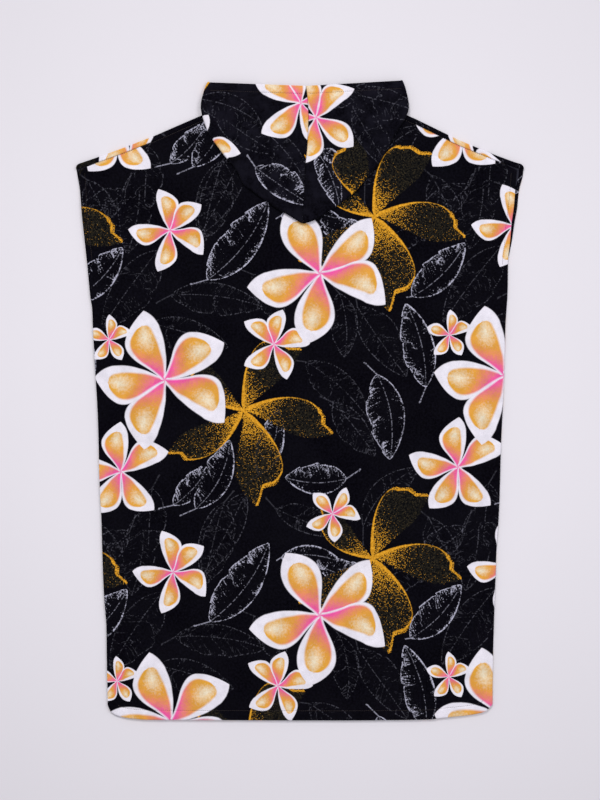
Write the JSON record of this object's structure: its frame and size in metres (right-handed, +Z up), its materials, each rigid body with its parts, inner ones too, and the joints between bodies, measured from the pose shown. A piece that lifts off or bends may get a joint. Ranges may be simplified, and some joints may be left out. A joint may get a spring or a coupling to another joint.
{
  "type": "hooded bath poncho",
  "caption": "Hooded changing poncho in printed velour terry, laid flat with its back up and the hood laid back over the shoulders.",
  "frame": {"origin": "on the supporting surface, under the centre of the laid garment's bounding box", "axes": "+X to the right of the garment as it lies back up, +Y from the bottom hem towards the neck and hood, +Z up from the surface"},
  "size_m": [0.8192, 1.1705, 0.0128],
  "materials": {
    "body_velour": "sheared cotton velour terry, near-black navy ground with white, pink, orange and gold flowers and fine pale leaf outlines",
    "hood_velour": "the same printed velour terry, with a turned hem round the face opening"
  },
  "bodies": {
    "root": {"front_panel": "body_velour", "back_panel": "body_velour", "hood_left": "hood_velour", "hood_right": "hood_velour"}
  },
  "joints": []
}
